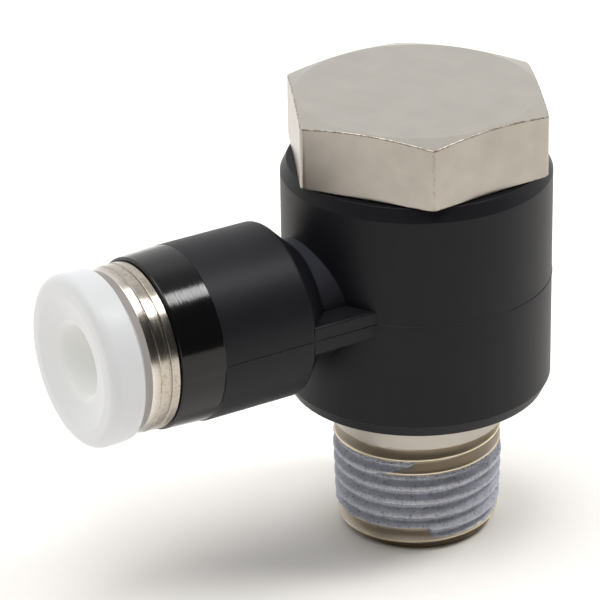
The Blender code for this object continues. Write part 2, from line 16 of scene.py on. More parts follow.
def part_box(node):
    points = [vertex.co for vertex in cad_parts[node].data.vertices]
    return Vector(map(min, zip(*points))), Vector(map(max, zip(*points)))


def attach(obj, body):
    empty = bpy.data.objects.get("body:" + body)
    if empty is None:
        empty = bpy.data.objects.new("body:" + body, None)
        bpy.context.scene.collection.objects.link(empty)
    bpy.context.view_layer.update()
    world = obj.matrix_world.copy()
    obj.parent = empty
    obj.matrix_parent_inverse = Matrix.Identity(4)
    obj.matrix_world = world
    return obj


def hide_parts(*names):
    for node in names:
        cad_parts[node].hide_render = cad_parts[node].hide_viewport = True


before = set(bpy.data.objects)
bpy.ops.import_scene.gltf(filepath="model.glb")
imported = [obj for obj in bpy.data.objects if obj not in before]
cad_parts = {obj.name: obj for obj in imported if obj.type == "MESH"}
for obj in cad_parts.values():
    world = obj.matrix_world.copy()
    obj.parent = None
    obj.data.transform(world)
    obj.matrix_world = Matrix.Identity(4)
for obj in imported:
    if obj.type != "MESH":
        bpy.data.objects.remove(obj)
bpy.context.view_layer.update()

MM = 0.001


def reach(node):
    """Lowest and highest x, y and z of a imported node, in millimetres."""
    low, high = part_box(node)
    return [(a / MM, b / MM) for a, b in zip(low, high)]


print("nodes:", sorted(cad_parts))

# %% [markdown]
# ## Where things are
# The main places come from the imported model's boxes, so the new meshes sit where the
# solids do. The stud stands on Z = 0 with its axis on Z, and the arm points along -X.
# Along the arm, a station is a distance from the stud's axis. All lengths are in
# millimetres here, because thousandths of a metre are hard to read.

# %% Read the main places
body_x, body_y, body_z = reach("swivel_body")
BODY_RADIUS = body_y[1]
BODY_BOTTOM, BODY_TOP = body_z
ARM_AXIS = (BODY_BOTTOM + BODY_TOP) / 2
ARM_MOUTH = -body_x[0]

guide_x, guide_y = reach("guide")[:2]
GUIDE_FRONT = -guide_x[0]
GUIDE_END = -guide_x[1]
FLANGE_RADIUS = guide_y[1]

button_x, button_y = reach("release_button")[:2]
BUTTON_FRONT = -button_x[0]
HUB_END = -button_x[1]
BUTTON_RADIUS = button_y[1]

HEX_TOP = reach("banjo_stud")[2][1]
print(f"arm axis {ARM_AXIS:.2f}, mouth {ARM_MOUTH:.2f}, button front {BUTTON_FRONT:.2f}")

# %% [markdown]
# ## Camera
# A long lens stands off to the left and looks down on the fitting, so near and far parts
# keep almost the same scale. The three directions below are the camera's own right, up
# and backward axes. A rotation matrix with those columns turns a camera exactly, where
# angles would need a fixed order of turns.

# %% Stand the camera
CAMERA_PLACE = Vector((-103.592, -161.602, 107.442))
CAMERA_RIGHT = Vector((0.85633691, -0.51617347, -0.01587586))
CAMERA_UP = Vector((0.23786831, 0.36696603, 0.89930785))
CAMERA_BACK = Vector((-0.45837295, -0.77388687, 0.43702786))
LENS = 220.46
SENSOR = 36.0

lens = bpy.data.cameras.new("camera")
lens.lens = LENS
lens.sensor_width = SENSOR
lens.clip_start = 0.01
lens.clip_end = 10.0
camera = bpy.data.objects.new("camera", lens)
turn = Matrix((CAMERA_RIGHT, CAMERA_UP, CAMERA_BACK)).transposed()
camera.matrix_world = Matrix.Translation(CAMERA_PLACE * MM) @ turn.to_4x4()
bpy.context.scene.collection.objects.link(camera)
bpy.context.scene.camera = camera
print(f"camera {CAMERA_PLACE.length:.0f} mm from the origin, lens {LENS} mm")

# %% [markdown]
# ## Shader maths as plain sums
# A finish needs many small sums, such as a mask times a colour. Wiring Math nodes by hand
# hides the idea. This class wraps one socket, and Python's own operators add the nodes,
# so `1 - mask` in the code is what happens on the surface.


# %% Wrap a socket so that sums add nodes
class Field:
    """A value that changes over a surface, held as one output socket."""

    def __init__(self, finish, socket):
        self.finish = finish
        self.socket = socket

    def math(self, operation, *others):
        """Math node whose first value is this field."""
        settings = {"operation": operation}
        return self.finish.node("ShaderNodeMath", settings, self, *others)

    def __add__(self, other):
        return self.math("ADD", other)

    def __radd__(self, other):
        return self.math("ADD", other)

    def __mul__(self, other):
        return self.math("MULTIPLY", other)

    def __rmul__(self, other):
        return self.math("MULTIPLY", other)

    def __sub__(self, other):
        return self.math("SUBTRACT", other)

    def __rsub__(self, other):
        return self.finish.node("ShaderNodeMath", {"operation": "SUBTRACT"}, other, self)

    def __neg__(self):
        return self.math("MULTIPLY", -1.0)

    def clamped(self):
        """This field kept between 0 and 1."""
        return self.math("MAXIMUM", 0.0).math("MINIMUM", 1.0)


# %% [markdown]
# A finish is one tree of nodes with a shader at its end. Adding each node by its type and
# feeding it in the same call keeps a finish short enough to read as a recipe. Patterns
# read the piece's own coordinates, so they stay put when the piece moves.


# %% Gather the nodes of one finish
class Finish:
    """A node tree that ends in one shader, for a material or for the world."""

    def __init__(self, owner):
        owner.use_nodes = True
        self.owner = owner
        self.tree = owner.node_tree

    def node(self, kind, settings, *values, output=0, **named):
        """Add a node, set it up, feed its sockets, and return an output as a field."""
        made = self.tree.nodes.new(kind)
        for key, value in settings.items():
            setattr(made, key, value)
        feeds = dict(enumerate(values))
        feeds.update((key.replace("_", " "), value) for key, value in named.items())
        for key, value in feeds.items():
            if isinstance(value, Field):
                self.tree.links.new(value.socket, made.inputs[key])
            else:
                made.inputs[key].default_value = value
        return Field(self, made.outputs[output])

    def place(self, stretch=(1.0, 1.0, 1.0)):
        """Object coordinates in millimetres, stretched."""
        where = self.node("ShaderNodeTexCoord", {}, output="Object")
        scale = [value / MM for value in stretch]
        return self.node("ShaderNodeVectorMath", {"operation": "MULTIPLY"}, where, scale)

    def marked(self, name):
        """A number that the mesh carries at its points."""
        return self.node("ShaderNodeAttribute", {"attribute_name": name}, output="Fac")

    def split(self, vector):
        """The x, y and z of a vector as three fields."""
        parts = self.node("ShaderNodeSeparateXYZ", {}, vector)
        outputs = parts.socket.node.outputs
        return [Field(self, outputs[index]) for index in range(3)]

    def grain(self, vector, scale, detail=2.0, roughness=0.5):
        """Noise between 0 and 1."""
        shape = {"Scale": scale, "Detail": detail, "Roughness": roughness}
        return self.node("ShaderNodeTexNoise", {}, vector, **shape)

    def step(self, value, low, high):
        """0 below low, 1 above high, and an S curve between."""
        settings = {"interpolation_type": "SMOOTHSTEP"}
        return self.node("ShaderNodeMapRange", settings, value, low, high, 0.0, 1.0)

    def mix(self, factor, first, second):
        """Colour between two colours."""
        settings = {"data_type": "RGBA"}
        made = self.node("ShaderNodeMix", settings, factor, output=2)
        for key, value in ((6, first), (7, second)):
            socket = made.socket.node.inputs[key]
            if isinstance(value, Field):
                self.tree.links.new(value.socket, socket)
            else:
                socket.default_value = (*value, 1.0)
        return made

    def bump(self, height, strength, distance):
        """Normal tilted by a height field; the distance is in millimetres."""
        size = {"Strength": strength, "Distance": distance * MM}
        return self.node("ShaderNodeBump", {}, Height=height, **size)

    def coat(self, **named):
        """Set the material's Principled shader."""
        shader = self.tree.nodes["Principled BSDF"]
        for key, value in named.items():
            socket = shader.inputs[key.replace("_", " ")]
            if isinstance(value, Field):
                self.tree.links.new(value.socket, socket)
            elif isinstance(value, tuple) and len(value) == 3 and len(socket.default_value) == 4:
                socket.default_value = (*value, 1.0)
            else:
                socket.default_value = value
        return self.owner


def material(name):
    """A new material's finish."""
    return Finish(bpy.data.materials.new(name))


def shades(colour, low, high):
    """A darker and a lighter form of a colour."""
    return [value * low for value in colour], [value * high for value in colour]


# %% [markdown]
# ## Turning on a lathe
# Nearly every piece here was turned or moulded round, so one tool makes most meshes: an
# outline in the (radius, height) plane is spun about Z. Sharp corners never look real,
# because light finds no edge to catch, so an outline's corner can carry a small rounding.

# %% Round the corners of an outline
SPARE_ROOM = 2.5


def rounded(points, steps=4):
    """Outline through (radius, height) corners; a third number rounds a corner off.

    A spare point on each side of a rounding keeps the flats beside it flat to the light.
    """
    smooth = []
    for index, (radius, height, *bend) in enumerate(points):
        here = Vector((radius, height))
        if not bend:
            smooth.append(here)
            continue
        before = Vector(points[index - 1][:2]) - here
        after = Vector(points[(index + 1) % len(points)][:2]) - here
        back, on = before.normalized(), after.normalized()
        half = back.angle(on) / 2
        centre = here + (back + on).normalized() * bend[0] / math.sin(half)
        run = bend[0] / math.tan(half)
        first = here + back * run - centre
        last = here + on * run - centre
        beside = run + bend[0] / 2
        if before.length > SPARE_ROOM * beside:
            smooth.append(here + back * beside)
        for step in range(steps + 1):
            smooth.append(centre + first.slerp(last, step / steps) * bend[0])
        if after.length > SPARE_ROOM * beside:
            smooth.append(here + on * beside)
    return smooth


# %% Spin an outline
def lathe(outline, steps):
    """Spin an outline about Z. Ends on the axis leave it open, any other outline closes."""
    shape = bmesh.new()
    verts = [shape.verts.new((point[0], 0.0, point[1])) for point in outline]
    pairs = list(zip(verts, verts[1:]))
    if outline[0][0] > 0:
        pairs.append((verts[-1], verts[0]))
    edges = [shape.edges.new(pair) for pair in pairs]
    bmesh.ops.spin(
        shape,
        geom=verts + edges,
        cent=(0, 0, 0),
        axis=(0, 0, 1),
        angle=2 * math.pi,
        steps=steps,
        use_merge=True,
    )
    return shape


# %% [markdown]
# ## From a shape to a piece
# Shapes are drawn in millimetres and become meshes in metres. Doubled points are merged
# before the faces are turned outwards, because a spin leaves a ring of them on its axis.
# A hole or a joined part could be modelled face by face; a boolean does it in one step.
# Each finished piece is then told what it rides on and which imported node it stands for.


# %% Make, carve and dress a piece
MERGE_GAP = 0.0001


def mesh_object(name, shape, smooth_angle=40):
    """Object in metres from a shape in millimetres, merged and facing outwards."""
    bmesh.ops.remove_doubles(shape, verts=shape.verts, dist=MERGE_GAP)
    bmesh.ops.recalc_face_normals(shape, faces=shape.faces)
    bmesh.ops.scale(shape, vec=(MM, MM, MM), verts=shape.verts)
    mesh = bpy.data.meshes.new(name)
    shape.to_mesh(mesh)
    shape.free()
    mesh.shade_smooth()
    mesh.set_sharp_from_angle(angle=math.radians(smooth_angle))
    made = bpy.data.objects.new(name, mesh)
    bpy.context.scene.collection.objects.link(made)
    return made


def carve(piece, tool, operation):
    """Join a tool to a piece or cut it away, and leave one plain mesh."""
    step = piece.modifiers.new(operation, "BOOLEAN")
    step.operation = operation
    step.solver = "MANIFOLD"
    step.object = tool
    graph = bpy.context.evaluated_depsgraph_get()
    result = bpy.data.meshes.new_from_object(piece.evaluated_get(graph))
    piece.modifiers.clear()
    piece.data = result
    bpy.data.objects.remove(tool)
    return piece


def dress(piece, finish, body, slot, *nodes):
    """Give a piece its finish, its body and the nodes it stands for; the slot is not used."""
    piece.data.materials.clear()
    piece.data.materials.append(finish)
    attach(piece, body)
    if nodes:
        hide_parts(*nodes)
    print(f"{piece.name}: {len(piece.data.polygons)} faces")


# %% [markdown]
# ## Eased corners in a formula
# Where one surface takes over from another, a plain maximum leaves a knife edge. The first
# two helpers below ease that edge over a chosen width, as the nose of a cutting tool does,
# and the third goes smoothly from 0 to 1.


# %% Ease the change from one number to another
def soft_max(a, b, blend):
    """Larger of two numbers, with the change-over eased over a width."""
    ease = max(blend - abs(a - b), 0.0) / blend
    return max(a, b) + ease * ease * blend / 4


def soft_min(a, b, blend):
    """Smaller of two numbers, eased in the same way."""
    return -soft_max(-a, -b, blend)


def smooth_step(low, high, value):
    """0 below low, 1 above high, and an S curve between."""
    share = min(max((value - low) / (high - low), 0.0), 1.0)
    return share * share * (3 - 2 * share)


# %% [markdown]
# ## The stud: thread
# A taper pipe thread is a groove wound round a cone. It could be swept along a helix, but
# a swept groove has to be trimmed at both ends. Here the stud is spun as a plain shape
# with close rows, and each point then moves in or out by how far it lies from the nearest
# crest. The winding, the taper, the run-out groove and the chamfered end are one formula.
# The sizes are those of the standard 1/8 inch thread, with 28 crests to the inch.

# %% Thread sizes and its surface
INCH = 25.4
CRESTS_PER_INCH = 28
PITCH = INCH / CRESTS_PER_INCH
GAUGE_RADIUS = 9.728 / 2
GAUGE_HEIGHT = 4.0
TAPER = 1 / 32
VEE_HEIGHT = 0.960491 * PITCH
THREAD_DEPTH = VEE_HEIGHT * 2 / 3
CREST_CUT = 1 / 6
CREST_EASE = 0.11
THREAD_TOP = 6.9
RELIEF_START = 6.32
RELIEF_FULL = 6.55
END_RADIUS = 4.24
END_HEIGHT = 0.6
END_EASE = 0.05
FRONT_AZIMUTH = math.radians(-122.7)
FRONT_CREST = 6.14
print(f"thread: pitch {PITCH:.3f}, depth {THREAD_DEPTH:.3f}")


def crest_radius(height):
    """Radius of the cone that the crests lie on."""
    return GAUGE_RADIUS + TAPER * (height - GAUGE_HEIGHT)


def crest_height(azimuth):
    """Height of the top crest's line at an azimuth near the front one."""
    return FRONT_CREST + PITCH * (azimuth - FRONT_AZIMUTH) / (2 * math.pi)


def groove_depth(azimuth, height):
    """How deep the thread lies under its crests at a point."""
    turns = (height - crest_height(azimuth)) / PITCH
    fall = 2 * abs(turns - round(turns))
    depth = VEE_HEIGHT * (fall - CREST_CUT)
    return soft_min(soft_max(depth, 0.0, CREST_EASE), THREAD_DEPTH, CREST_EASE)


def thread_surface(azimuth, height):
    """Radius of the stud's threaded end at a point."""
    relief = THREAD_DEPTH * smooth_step(RELIEF_START, RELIEF_FULL, height)
    depth = max(groove_depth(azimuth, height), relief)
    end_slope = (crest_radius(END_HEIGHT) - END_RADIUS) / END_HEIGHT
    chamfer = END_RADIUS + end_slope * height
    return soft_min(crest_radius(height) - depth, chamfer, END_EASE)


# %% [markdown]
# ## The stud: head
# The head is drawn hexagon bar with its top faced on a lathe, which leaves a shallow cone
# cut across the six corners. Spinning and then pushing each point out to the hexagon
# keeps the head in one mesh with the shank. The spun points are also gathered towards the
# corners first, where the surface turns quickly.

# %% Head sizes and its surface
HEX_FLAT = 7.0
HEX_CORNER = 0.45
HEX_TURN = math.radians(-115.8)
HEAD_GAP = 0.06
HEX_BOTTOM = BODY_TOP + HEAD_GAP
HEX_REACH = 8.1
HEX_EDGE = 0.05
SIXTH = math.pi / 3
TOP_CIRCLE = 6.87
TOP_SLOPE = math.tan(math.radians(15))
TOP_ROW = 0.03
GATHER = 0.9
RIM_REACH = 1.2 * HEX_EDGE
CORNER_LINE = (0.004, 0.014)
print(f"head: {2 * HEX_FLAT:.1f} across flats, {HEX_TOP - HEX_BOTTOM:.2f} high")


def from_corner(azimuth):
    """Angle from the nearest corner of the hexagon."""
    return abs((azimuth - HEX_TURN + SIXTH / 2) % SIXTH - SIXTH / 2)


def hexagon_radius(azimuth):
    """Distance from the axis to the hexagon with its corners rounded."""
    off_corner = from_corner(azimuth)
    off_flat = SIXTH / 2 - off_corner
    meeting = math.atan((HEX_FLAT - HEX_CORNER) * math.tan(SIXTH / 2) / HEX_FLAT)
    if off_flat < meeting:
        return HEX_FLAT / math.cos(off_flat)
    centre = (HEX_FLAT - HEX_CORNER) / math.cos(SIXTH / 2)
    across = centre * math.sin(off_corner)
    return centre * math.cos(off_corner) + math.sqrt(HEX_CORNER**2 - across**2)


def head_place(azimuth, radius, height):
    """Where a spun point of the head goes on the hexagon."""
    azimuth -= GATHER / 6 * math.sin(6 * (azimuth - HEX_TURN))
    if radius > TOP_CIRCLE + 2 * TOP_ROW:
        radius = hexagon_radius(azimuth) - (HEX_REACH - radius)
    if height > (HEX_BOTTOM + HEX_TOP) / 2:
        height -= max(radius - TOP_CIRCLE, 0.0) * TOP_SLOPE
    return azimuth, radius, height


def head_marks(azimuth, radius, height):
    """Marks for the finish: on a rounded rim, on a side, and on a side's corner."""
    from_rim = min(abs(height - HEX_TOP), abs(height - HEX_BOTTOM))
    from_side = HEX_REACH - radius
    rim = float(max(from_side, from_rim) < RIM_REACH)
    side = float(from_side < HEX_EDGE / 2 and from_rim > HEX_EDGE / 2)
    return rim, side, side * (1 - smooth_step(*CORNER_LINE, from_corner(azimuth)))


# %% [markdown]
# ## The stud: spinning it
# One outline runs from the blind end of the bore down to the thread's end, up the thread
# in close rows, along the grooves of the shank and over the head to the axis. Two holes
# drilled right across let the air pass from the bore to the arm.

# %% Spin the stud and shape it
SHANK_RADIUS = 5.05
SHANK_ROUND = 0.05
BORE_RADIUS = 2.5
BORE_END = ARM_AXIS + 3.1
BORE_POINT = 1.5
BORE_CHAMFER = 0.25
END_BREAK_IN = 0.04
END_BREAK_UP = 0.03
ROW = 0.05
NEARLY = 0.001
STUD_STEPS = 288
BARE_CREST_LINE = (0.04, 0.09)
TOP_RINGS = (TOP_CIRCLE + TOP_ROW, TOP_CIRCLE, TOP_CIRCLE - TOP_ROW, 4.6, 2.3, 0.0)
# Each groove: its lower height, its upper height and the radius of its floor.
GROOVES = ((9.5, 10.2, 4.6), (11.1, 12.45, 4.04), (13.2, 19.2, 3.9), (19.95, 21.3, 4.04))

bore = [(0.0, BORE_END + BORE_POINT), (BORE_RADIUS, BORE_END), (BORE_RADIUS, BORE_CHAMFER)]
end = [
    (BORE_RADIUS + BORE_CHAMFER, 0.0),
    (END_RADIUS - END_BREAK_IN, 0.0),
    (END_RADIUS, END_BREAK_UP),
]
rows = [(GAUGE_RADIUS, ROW * step) for step in range(1, round(THREAD_TOP / ROW))]
shank = [
    (crest_radius(THREAD_TOP) - THREAD_DEPTH, THREAD_TOP),
    (SHANK_RADIUS, THREAD_TOP, SHANK_ROUND),
]
for low, high, floor in GROOVES:
    shank += [(SHANK_RADIUS, low), (floor, low), (floor, high), (SHANK_RADIUS, high)]
head = [
    (SHANK_RADIUS, HEX_BOTTOM),
    (HEX_REACH, HEX_BOTTOM, HEX_EDGE),
    (HEX_REACH, HEX_BOTTOM + 2 * HEX_EDGE),
    (HEX_REACH, HEX_TOP - 2 * HEX_EDGE),
    (HEX_REACH, HEX_TOP, HEX_EDGE),
    (HEX_REACH - 2 * HEX_EDGE, HEX_TOP),
    *((radius, HEX_TOP) for radius in TOP_RINGS),
]
stud_shape = lathe(bore + end + rows + rounded(shank + head), STUD_STEPS)
bare_crest_and_highlight_mark = stud_shape.verts.layers.float.new("bare_crest_and_highlight")
head_layers = [stud_shape.verts.layers.float.new(name) for name in ("rim", "side", "corner")]
for point in stud_shape.verts:
    azimuth = math.atan2(point.co.y, point.co.x)
    radius, height = point.co.xy.length, point.co.z
    if height > HEX_BOTTOM - NEARLY:
        drawn = (radius, height)
        azimuth, radius, height = head_place(azimuth, radius, height)
        for layer, value in zip(head_layers, head_marks(azimuth, *drawn)):
            point[layer] = value
    elif 0 < height < THREAD_TOP - NEARLY and radius > BORE_RADIUS + BORE_CHAMFER:
        radius = thread_surface(azimuth, height)
        # the crest lines are marked for bare brass that is brightened as a painted highlight
        turns = (height - crest_height(azimuth)) / PITCH
        point[bare_crest_and_highlight_mark] = 1 - smooth_step(*BARE_CREST_LINE, abs(turns - round(turns)))
    point.co = (radius * math.cos(azimuth), radius * math.sin(azimuth), height)
stud = mesh_object("stud", stud_shape)

# %% Drill the cross holes
CROSS_HOLE = 1.5
HOLE_REACH = 6.0
HOLE_STEPS = 32
hole_outline = [
    (0.0, -HOLE_REACH),
    (CROSS_HOLE, -HOLE_REACH),
    (CROSS_HOLE, HOLE_REACH),
    (0.0, HOLE_REACH),
]
for quarter in (0, 1):
    hole = lathe(hole_outline, HOLE_STEPS)
    turn = Matrix.Rotation(quarter * math.pi / 2, 3, "Z") @ Matrix.Rotation(math.pi / 2, 3, "Y")
    bmesh.ops.rotate(hole, cent=(0, 0, 0), matrix=turn, verts=hole.verts)
    bmesh.ops.translate(hole, vec=(0, 0, ARM_AXIS), verts=hole.verts)
    carve(stud, mesh_object("cross_hole", hole), "DIFFERENCE")
print(f"stud: bore {2 * BORE_RADIUS} wide, cross holes {2 * CROSS_HOLE} wide")

# %% [markdown]
# ## Nickel on brass
# The plating is thin and satin: it mirrors the table and the white backdrop, softly, and
# leans to a warm grey. Drawn bar keeps fine lines along its length, so the noise for the
# head's sides is stretched up and down, and the sides are a little mottled and carry
# painted shade, darker than the top. The stud also carries painted shade below the body
# and at the thread's end, and painted light in the relief groove. The rim and the corners
# of the head are worn. The crests of the thread are bare brass, brightened into a painted
# highlight, and the guide's front face carries painted light. Each of these is a layer: a
# mask and a colour, laid over the ones before it.

# %% Nickel finishes
NICKEL = (0.475, 0.445, 0.40)
# painted shade: a darker warm grey for the head's sides and for the stud below the body
PAINTED_SHADE_TINT = (0.345, 0.315, 0.28)
BRASS_TINT = (0.52, 0.465, 0.39)
RELIEF_LIGHT_TINT = (1.0, 0.92, 0.79)
END_SHADE_TINT = (0.26, 0.22, 0.16)
END_SHADE_FADE = (0.2, 0.5)
BARE_CREST_AND_HIGHLIGHT_TINT = (1.0, 0.86, 0.55)
WORN_EDGE = (0.16, 0.12, 0.07)
SPOT_TINT = (0.36, 0.27, 0.15)
FRONT_LIGHT_TINT = (0.66, 0.61, 0.57)


def worn_plating(finish):
    """Where the plating is worn: chips along the rims and nicks on the corners."""
    where = finish.place()
    whole = finish.step(finish.grain(where, 3.5, 4.0, 0.7), 0.46, 0.54)
    nicks = finish.step(finish.grain(where, 7.0, 3.0, 0.7), 0.46, 0.6)
    worn = finish.marked("rim") * (1 - whole) * 0.7 + finish.marked("corner") * nicks * 0.4
    return worn.clamped()


def nickel(name, stretch, roughness, streaks=0.0):
    """Satin nickel whose fine lines run where the stretch is small."""
    finish = material(name)
    lines = finish.grain(finish.place(stretch), 6.0, 3.0, 0.6)
    cloud = finish.grain(finish.place((0.5, 0.5, 0.5)), 1.2, 3.0, 0.55)
    height = finish.split(finish.place())[2]
    in_thread = 1 - finish.step(height, THREAD_TOP - ROW, THREAD_TOP)
    shade_below_body = 1 - finish.step(height, BODY_BOTTOM, BODY_BOTTOM + 1)
    bare_crest_and_highlight = finish.marked("bare_crest_and_highlight")
    layers = [
        # painted shade: the stud darker below the body
        (shade_below_body * 0.4, PAINTED_SHADE_TINT),
        (in_thread, BRASS_TINT),
        # painted light: the relief groove lightened with a bright warm colour
        (in_thread * finish.step(height, RELIEF_START, RELIEF_FULL), RELIEF_LIGHT_TINT),
        # painted shade: the thread's end darker next to the table
        (1 - finish.step(height, *END_SHADE_FADE), END_SHADE_TINT),
        # bare brass on the crest lines, brightened as a painted highlight
        (bare_crest_and_highlight * 0.55, BARE_CREST_AND_HIGHLIGHT_TINT),
        # painted shade: the head's sides darker than the top, with a random mottle
        (finish.marked("side") * 0.75, finish.mix(cloud, *shades(PAINTED_SHADE_TINT, 0.8, 1.2))),
        (worn_plating(finish), WORN_EDGE),
    ]
    if streaks:
        spots = finish.step(finish.grain(finish.place(), 6.0, 3.0, 0.7), 0.5, 0.62)
        # painted light: the guide's front face lightened
        layers += [(spots * 0.7, SPOT_TINT), (finish.marked("front") * 0.9, FRONT_LIGHT_TINT)]
        finish.coat(Normal=finish.bump(lines, streaks, 0.01))
    tint = finish.mix((lines * 0.3 + cloud * 0.7).clamped(), *shades(NICKEL, 0.86, 1.1))
    for share, colour in layers:
        tint = finish.mix(share, tint, colour)
    rough = roughness + (lines - 0.5) * (0.06 + streaks) + in_thread * 0.24 - bare_crest_and_highlight * 0.2
    return finish.coat(Base_Color=tint, Metallic=1.0, Roughness=rough)


stud_nickel = nickel("stud_nickel", (1.0, 1.0, 0.08), 0.29)
dress(stud, stud_nickel, "stud", "nickel", "banjo_stud")

# %% [markdown]
# ## Thread sealant
# The maker brushes a grey sealant on the thread, which dries to a dull coat. It follows
# the groove for nearly five turns and ends in a blunt tongue at both ends. The coat is a
# sleeve whose outside either stands a little over the thread or dips under it. Paint would
# have been quicker, but a film needs an edge with a thickness that catches the light.

# %% Where the sealant ends
COAT_TURNS = 6
UPPER_END = FRONT_AZIMUTH + math.radians(-2.0)
UPPER_MARGIN = 0.1
TONGUE_ROUND = 0.6
GAP_WIDTH = 0.32
GAP_SPAN = (-0.45, -0.05)
GAP_ROUND = 0.3
LOWER_END = FRONT_AZIMUTH + math.radians(9.0)
LOWER_MARGIN = 0.05
LOWER_LAP = 0.12
TAIL_ROUND = 0.5
LAP_EASE = 0.1


def wrapped(angle):
    """The same angle between minus half a turn and half a turn."""
    return (angle + math.pi) % (2 * math.pi) - math.pi


def coat_margin(azimuth, height):
    """Distance inside the coat's edge, negative outside it."""
    past_upper = wrapped(azimuth - UPPER_END)
    top_line = crest_height(UPPER_END + past_upper) - UPPER_MARGIN
    tongue = soft_min(top_line - height, -GAUGE_RADIUS * past_upper, TONGUE_ROUND)
    gap = GAP_WIDTH * smooth_step(*GAP_SPAN, past_upper)
    if gap > 0:
        tongue = soft_min(tongue, height - top_line + PITCH - gap, GAP_ROUND)
    upper = soft_max(tongue, top_line - PITCH - height, LAP_EASE)
    past_lower = wrapped(azimuth - LOWER_END)
    low_line = crest_height(LOWER_END + past_lower) - COAT_TURNS * PITCH + LOWER_MARGIN
    tail = soft_min(height - low_line, GAUGE_RADIUS * past_lower, TAIL_ROUND)
    lower = soft_max(tail, height - low_line - PITCH + LOWER_LAP, LAP_EASE)
    return min(upper, lower)


# %% How thick the sealant lies
FILM = 0.075
FILL = 0.75
FILL_EASE = 0.05
COAT_DROOP = 0.14
COAT_SINK = 0.08
COAT_EASE = 0.16
RIPPLE_SCALE = 2.2
RIPPLE_HEIGHT = 0.02
RIPPLE_EDGE = 0.05


def coat_surface(azimuth, height):
    """Radius of the sealant's outside at a point."""
    spot = Vector((math.cos(azimuth) * GAUGE_RADIUS, math.sin(azimuth) * GAUGE_RADIUS, height))
    ripple = noise.fractal(spot * RIPPLE_SCALE, 1.0, 2.0, 3)
    margin = coat_margin(azimuth, height) + RIPPLE_EDGE * ripple
    depth = groove_depth(azimuth, height + COAT_DROOP) * FILL
    metal = thread_surface(azimuth, height)
    filled = soft_max(crest_radius(height) - depth, metal, FILL_EASE)
    over = filled + FILM + RIPPLE_HEIGHT * ripple
    under = metal - COAT_SINK
    return under + (over - under) * smooth_step(-COAT_EASE / 3, COAT_EASE, margin)


# %% Spin the sealant and shape it
COAT_LOW = 0.45
COAT_HIGH = 6.5
COAT_INSIDE = 4.0
COAT_CREST_HIGHLIGHT_LINE = (0.01, 0.1)
PORES_AND_SHADE_LINE = (0.04, 0.16)
PORES_AND_SHADE_BELOW_CREST = 0.2

coat_rows = round((COAT_HIGH - COAT_LOW) / ROW)
outside = [(GAUGE_RADIUS, COAT_LOW + ROW * step) for step in range(coat_rows + 1)]
sleeve = [(COAT_INSIDE, COAT_LOW), *outside, (COAT_INSIDE, outside[-1][1])]
coat_shape = lathe(sleeve, STUD_STEPS)
coat_crest_highlight_mark = coat_shape.verts.layers.float.new("crest")
pores_and_shade_mark = coat_shape.verts.layers.float.new("pores_and_shade")
for point in coat_shape.verts:
    if point.co.xy.length > (COAT_INSIDE + GAUGE_RADIUS) / 2:
        azimuth = math.atan2(point.co.y, point.co.x)
        turns = (point.co.z + COAT_DROOP - crest_height(azimuth)) / PITCH
        offset = turns - round(turns)
        point[coat_crest_highlight_mark] = 1 - smooth_step(*COAT_CREST_HIGHLIGHT_LINE, abs(offset))
        point[pores_and_shade_mark] = 1 - smooth_step(*PORES_AND_SHADE_LINE, abs(offset + PORES_AND_SHADE_BELOW_CREST))
        radius = coat_surface(azimuth, point.co.z)
        point.co.xy = (radius * math.cos(azimuth), radius * math.sin(azimuth))
coat = mesh_object("sealant", coat_shape, 80)


# %% Sealant finish
def sealant():
    """Dull grey-blue coat, mottled; lighter crest lines are a painted highlight, and dark specks
    lie at random and gather under each crest as painted shade.
    """
    finish = material("sealant")
    where = finish.place()
    cloud = finish.grain(where, 1.6, 4.0, 0.6)
    fine = finish.grain(where, 9.0, 3.0, 0.6)
    # specks lie at random and gather just under each crest as painted shade
    pits_and_shade = finish.grain(where, 5.5, 3.0, 0.7) + finish.marked("pores_and_shade") * 0.18
    specks = finish.step(pits_and_shade, 0.56, 0.66)
    mottle = (cloud * 1.4 + fine * 1.4 - 0.9).clamped()
    tint = finish.mix(mottle, (0.36, 0.375, 0.43), (0.66, 0.675, 0.74))
    # painted highlight: the coat's crest lines lighter
    tint = finish.mix(finish.marked("crest") * 0.3, tint, (0.82, 0.83, 0.87))
    tint = finish.mix(specks * 0.7, tint, (0.13, 0.14, 0.19))
    return finish.coat(
        Base_Color=tint,
        Roughness=0.8,
        Normal=finish.bump(fine, 0.35, 0.03),
    )


dress(coat, sealant(), "stud", "sealant", "thread_sealant")

# %% [markdown]
# ## The moulded body
# The body is one injection moulding: a ring on the stud, a neck, and an arm for the
# socket, with a flat fin in the mould's parting plane. Each is turned or extruded on its
# own and then joined, as a designer would, and the bores are cut last. The mould's two
# halves leave a hair-thin raised line on the ring, a fine groove along the arm and the
# fin, and a small step along the polished band at the mouth.

# %% Turn the ring
BODY_STEPS = 192
SEAM = 0.035
BODY_EDGE_OUT = 0.36
BODY_EDGE_UP = 0.75
FOOT_ROUND = 0.05
EDGE_ROUND = 0.08

